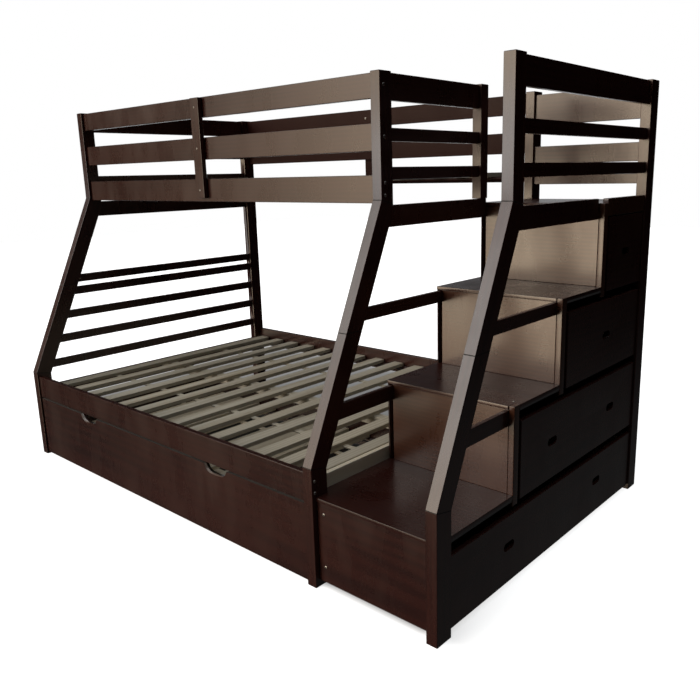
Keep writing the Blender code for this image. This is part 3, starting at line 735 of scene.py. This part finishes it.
def makeFloor():
    bm = bmesh.new()
    bmesh.ops.create_grid(bm, x_segments=1, y_segments=1, size=studio["floorSize"] / 2)
    mesh = bpy.data.meshes.new("paleFloor")
    bm.to_mesh(mesh)
    bm.free()
    floor = link(bpy.data.objects.new("paleFloor", mesh))
    floor.location.z = -studio["floorDrop"]
    material, tree, shader, place = startMaterial("paleFloorPaint")
    tone = noiseNode(tree, place, 0.8, 2.0)
    paint = mixColours(tree, tone, studio["floorColour"], studio["floorDull"])
    parts = addNode(tree, "ShaderNodeSeparateXYZ")
    wire(tree, place, parts.inputs[0])
    halfX, halfY = studio["shade"]
    tailFacts = studio["shadeTail"]
    edge = studio["shadeEdge"]
    x, y = parts.outputs["X"], parts.outputs["Y"]
    behind = mathNode(tree, "ADD", y, halfY)
    right = mathNode(tree, "ADD", x, mathNode(tree, "MULTIPLY", behind, tailFacts["right"]))
    left = mathNode(tree, "ADD", x, mathNode(tree, "MULTIPLY", behind, tailFacts["left"]))
    tail = rangeNode(tree, behind, -edge, 0.0)
    wide = tailFacts["edge"]
    for fade in (rangeNode(tree, right, halfX - wide, halfX + wide, 1.0, 0.0),
                 rangeNode(tree, left, -halfX - wide, -halfX + tailFacts["leftEdge"]),
                 rangeNode(tree, x, tailFacts["reach"] - tailFacts["reachEdge"], tailFacts["reach"]),
                 rangeNode(tree, y, tailFacts["start"], tailFacts["end"], tailFacts["depth"], 0.0)):
        tail = mathNode(tree, "MULTIPLY", tail, fade)
    # soft towards the open left end and the back, close behind the trundle's panel in front
    under = mathNode(tree, "MULTIPLY", rangeNode(tree, x, -halfX - edge, -halfX + studio["shadeLeft"]),
                     rangeNode(tree, x, halfX, halfX + edge, 1.0, 0.0))
    under = mathNode(tree, "MULTIPLY", under, rangeNode(tree, behind, -edge, 0.0))
    under = mathNode(tree, "MULTIPLY", under, rangeNode(tree, y, *studio["shadeBack"], 1.0, 0.0))
    shade = mathNode(tree, "MAXIMUM", tail, under)
    wire(tree, mixColours(tree, shade, paint, studio["shadeColour"]), shader.inputs["Base Color"])
    glow = mathNode(tree, "SUBTRACT", 1.0, shade)
    wire(tree, mathNode(tree, "MULTIPLY", glow, studio["floorGlow"]), shader.inputs["Emission Strength"])
    shader.inputs["Emission Color"].default_value = (1.0, 1.0, 1.0, 1.0)
    shader.inputs["Roughness"].default_value = studio["floorRoughness"]
    mesh.materials.append(material)
    floor.visible_glossy = False
    floor.visible_diffuse = False


def makeLight():
    world = bpy.data.worlds.new("studio")
    bpy.context.scene.world = world
    world.use_nodes = True
    tree = world.node_tree
    tree.nodes.clear()
    way = addNode(tree, "ShaderNodeTexCoord").outputs["Generated"]
    parts = addNode(tree, "ShaderNodeSeparateXYZ")
    wire(tree, way, parts.inputs[0])
    rise = parts.outputs["Z"]
    turn = mathNode(tree, "ARCTAN2", mathNode(tree, "MULTIPLY", parts.outputs["X"], -1.0),
                    mathNode(tree, "MULTIPLY", parts.outputs["Y"], -1.0))
    # a warm lit wall in front, whiter towards the window above it
    height = rangeNode(tree, rise, *studio["windowRise"])
    reach = mathNode(tree, "SUBTRACT", turn, mathNode(tree, "MULTIPLY", height, studio["turnShift"]))
    wall = rangeNode(tree, reach, studio["turnFull"], studio["turnDark"], 1.0, 0.0)
    wall = mathNode(tree, "MULTIPLY", wall, rangeNode(tree, turn, *studio["turnStart"]))
    wall = mathNode(tree, "MULTIPLY", wall, rangeNode(tree, rise, *studio["wallFoot"]))
    dim = rangeNode(tree, rise, *studio["wallDim"], 1.0, studio["wallUpper"])
    wall = mathNode(tree, "MULTIPLY", wall, dim)
    wall = mathNode(tree, "MULTIPLY", wall, rangeNode(tree, rise, *studio["wallTop"], 1.0, 0.0))
    zenith = rangeNode(tree, rise, *studio["zenithRise"])
    rear = mathNode(tree, "MULTIPLY", rangeNode(tree, parts.outputs["Y"], *studio["rearDeep"]),
                    rangeNode(tree, parts.outputs["X"], *studio["rearSide"]))
    rear = mathNode(tree, "MULTIPLY", rear, rangeNode(tree, rise, *studio["rearTop"], 1.0, 0.0))
    rear = mathNode(tree, "MULTIPLY", rear, rangeNode(tree, rise, *studio["rearFoot"]))
    bounce = rangeNode(tree, rise, *studio["floorRise"], 1.0, 0.0)
    total = None
    wallColour = mixColours(tree, height, studio["wallColour"], studio["windowColour"])
    for factor, colour, strength in ((wall, wallColour, studio["wallStrength"]),
                                     (zenith, studio["zenithColour"], studio["zenithStrength"]),
                                     (rear, studio["rearColour"], studio["rearStrength"]),
                                     (bounce, studio["floorLightColour"], studio["floorLight"])):
        light = addNode(tree, "ShaderNodeBackground")
        if isinstance(colour, tuple):
            light.inputs["Color"].default_value = (*colour, 1.0)
        else:
            wire(tree, colour, light.inputs["Color"])
        wire(tree, mathNode(tree, "MULTIPLY", factor, strength), light.inputs["Strength"])
        if total is None:
            total = light.outputs[0]
        else:
            join = addNode(tree, "ShaderNodeAddShader")
            wire(tree, total, join.inputs[0])
            wire(tree, light.outputs[0], join.inputs[1])
            total = join.outputs[0]
    paper = addNode(tree, "ShaderNodeBackground")
    paper.inputs["Color"].default_value = (1.0, 1.0, 1.0, 1.0)
    paper.inputs["Strength"].default_value = studio["paper"]
    seen = addNode(tree, "ShaderNodeLightPath").outputs["Is Camera Ray"]
    choose = addNode(tree, "ShaderNodeMixShader")
    wire(tree, seen, choose.inputs[0])
    wire(tree, total, choose.inputs[1])
    wire(tree, paper.outputs[0], choose.inputs[2])
    leave = addNode(tree, "ShaderNodeOutputWorld")
    wire(tree, choose.outputs[0], leave.inputs["Surface"])


viewpoint = {
    "place": (2.37814, -2.24868, 1.37215),
    "turn": (41.3395, 76.9412, -1.33225),   # around Z, then X, then the roll
    "sensor": 36.0,
    "lens": 37.013,
    "shift": (-0.03565, -0.01247),
}


def makeCamera():
    data = bpy.data.cameras.new("camera")
    camera = link(bpy.data.objects.new("camera", data))
    turn, tilt, roll = (radians(value) for value in viewpoint["turn"])
    camera.matrix_world = (Matrix.Translation(viewpoint["place"]) @ Matrix.Rotation(turn, 4, "Z")
                           @ Matrix.Rotation(tilt, 4, "X") @ Matrix.Rotation(roll, 4, "Z"))
    data.sensor_width = viewpoint["sensor"]
    data.lens = viewpoint["lens"]
    data.shift_x, data.shift_y = viewpoint["shift"]
    bpy.context.scene.camera = camera


makeFloor()
makeLight()
makeCamera()
bpy.context.scene.view_settings.view_transform = "Standard"
print("studio set")
